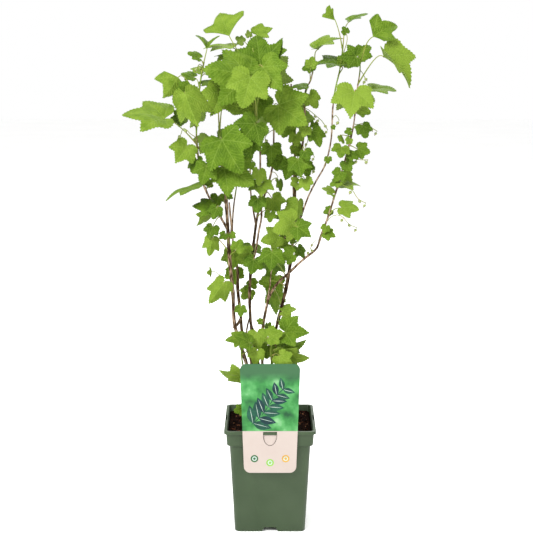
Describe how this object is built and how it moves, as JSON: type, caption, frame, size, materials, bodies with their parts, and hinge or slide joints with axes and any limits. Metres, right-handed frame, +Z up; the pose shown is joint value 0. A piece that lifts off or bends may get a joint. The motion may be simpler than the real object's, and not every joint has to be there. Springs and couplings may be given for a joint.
{
  "type": "potted blackcurrant plant",
  "caption": "Young fruiting bush: several woody canes rise from a square nursery pot of compost, with lobed leaves, small green berries and a plain plant label hooked on the rim.",
  "frame": {"origin": "middle of the pot's foot, on the surface that it stands on", "axes": "+Z up along the plant's height, -Y towards the side with the label, +X to the right as seen from that side"},
  "size_m": [0.3941, 0.1673, 0.7416],
  "materials": {
    "pot": "matt moulded green plastic",
    "compost": "moist dark peaty compost with bark chips",
    "label": "printed satin plastic card",
    "cane_left": "green lobed leaves on brown woody canes",
    "cane_middle": "green lobed leaves on brown woody canes",
    "cane_right": "light green lobed leaves on a slender pinkish brown cane",
    "cane_back": "green lobed leaves on brown woody canes",
    "shoot_left": "soft light green leaves on a young green shoot",
    "shoot_right": "soft light green leaves on a young green shoot"
  },
  "bodies": {
    "root": {"pot": "pot", "compost": "compost", "label": "label", "cane_left": "cane_left", "cane_middle": "cane_middle", "cane_right": "cane_right", "cane_back": "cane_back", "shoot_left": "shoot_left", "shoot_right": "shoot_right"}
  },
  "joints": []
}
